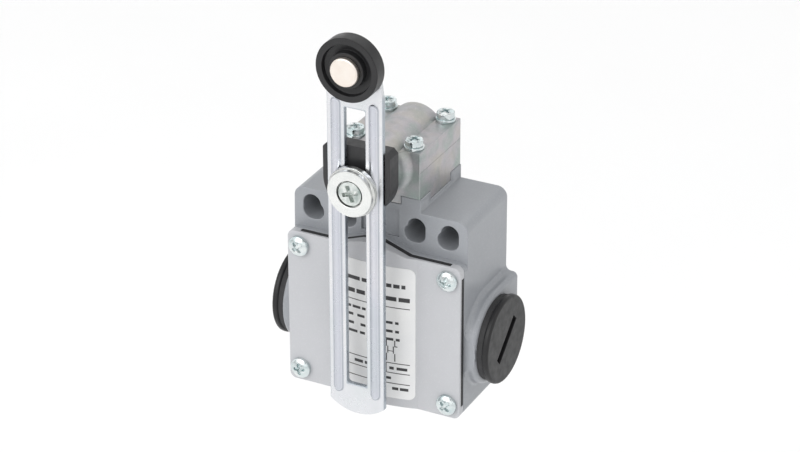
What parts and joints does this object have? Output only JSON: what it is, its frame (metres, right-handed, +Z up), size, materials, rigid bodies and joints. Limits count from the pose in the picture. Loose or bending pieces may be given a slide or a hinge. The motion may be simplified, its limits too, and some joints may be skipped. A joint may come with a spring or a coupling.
{
  "type": "limit switch",
  "caption": "Box-shaped limit switch with a head on top, a swinging slotted lever that slides to change its length, and a roller at the lever's end.",
  "frame": {"origin": "the middle of the row of four fixing holes, on the rear mounting face", "axes": "+Z is up towards the roller, +Y points backwards out of the rear mounting face, and +X is to the right as seen from the lid"},
  "size_m": [0.067, 0.0455, 0.1152],
  "materials": {
    "body_paint": "fine satin grey paint",
    "lid_paint": "fine satin grey paint",
    "head_casting": "bare die-cast, matte",
    "black_rubber": "matte",
    "black_plastic": "moulded, satin",
    "plug_plastic": "moulded, satin",
    "roller_plastic": "moulded, satin",
    "label_foil": "satin foil with a neutral print",
    "zinc_screw": "zinc-plated",
    "lever_steel": "zinc-plated sheet",
    "disc_steel": "turned and plated",
    "pin_steel": "pale warm plating",
    "shaft_steel": "ground",
    "bearing_brass": "turned",
    "block_plastic": "moulded",
    "white_plastic": "moulded",
    "contact_brass": "stamped",
    "spring_steel": "drawn wire"
  },
  "bodies": {
    "switch_body": {"housing": "body_paint", "lid": "lid_paint", "lid_gasket": "black_rubber", "lid_screws": "zinc_screw", "label": "label_foil", "left_plug": "plug_plastic", "right_plug": "plug_plastic", "plug_seals": "black_rubber", "head": "head_casting", "head_gasket": "black_rubber", "head_screws": "zinc_screw", "head_washers": "zinc_screw", "shaft_bush": "bearing_brass", "shaft_seal": "black_rubber", "contact_block": "block_plastic", "block_screws": "zinc_screw", "terminals": "contact_brass", "terminal_screws": "zinc_screw", "earth_screw": "zinc_screw", "earth_washer": "zinc_screw", "plunger_spring": "spring_steel", "carrier_spring": "spring_steel"},
    "rocker": {"operating_shaft": "shaft_steel", "shaft_cam": "shaft_steel", "shaft_clip": "spring_steel", "hub_washer": "white_plastic", "lever_hub": "black_plastic", "clamp_disc": "disc_steel", "clamp_screw": "zinc_screw"},
    "arm": {"lever_arm": "lever_steel", "roller_pin": "pin_steel", "roller_washer": "zinc_screw"},
    "roller": {"roller": "roller_plastic"},
    "plunger": {"head_plunger": "white_plastic"},
    "carrier": {"contact_carrier": "white_plastic", "closed_bridge": "contact_brass", "open_bridge": "contact_brass"}
  },
  "joints": [
    {"name": "lever_swing", "type": "hinge", "parent": "switch_body", "child": "rocker", "pos_m": [0, -0.0378, 0.0166], "axis": [0, 1, 0], "range_deg": [-75, 75], "stiffness_Nm_per_rad": 0.12},
    {"name": "lever_extension", "type": "slide", "parent": "rocker", "child": "arm", "axis": [0, 0, 1], "range_m": [-0.018, 0.0568]},
    {"name": "roller_spin", "type": "hinge", "parent": "arm", "child": "roller", "pos_m": [0, -0.042, 0.053], "axis": [0, 1, 0], "continuous": true},
    {"name": "plunger_press", "type": "slide", "parent": "switch_body", "child": "plunger", "axis": [0, 0, -1], "range_m": [0, 0.0025], "stiffness_N_per_m": 900, "deforming": ["plunger_spring"]},
    {"name": "contact_travel", "type": "slide", "parent": "switch_body", "child": "carrier", "axis": [0, 0, -1], "range_m": [0, 0.0025], "stiffness_N_per_m": 400, "deforming": ["carrier_spring"]}
  ],
  "couplings": [
    {"joint": "contact_travel", "follows": "plunger_press", "ratio": 1}
  ]
}
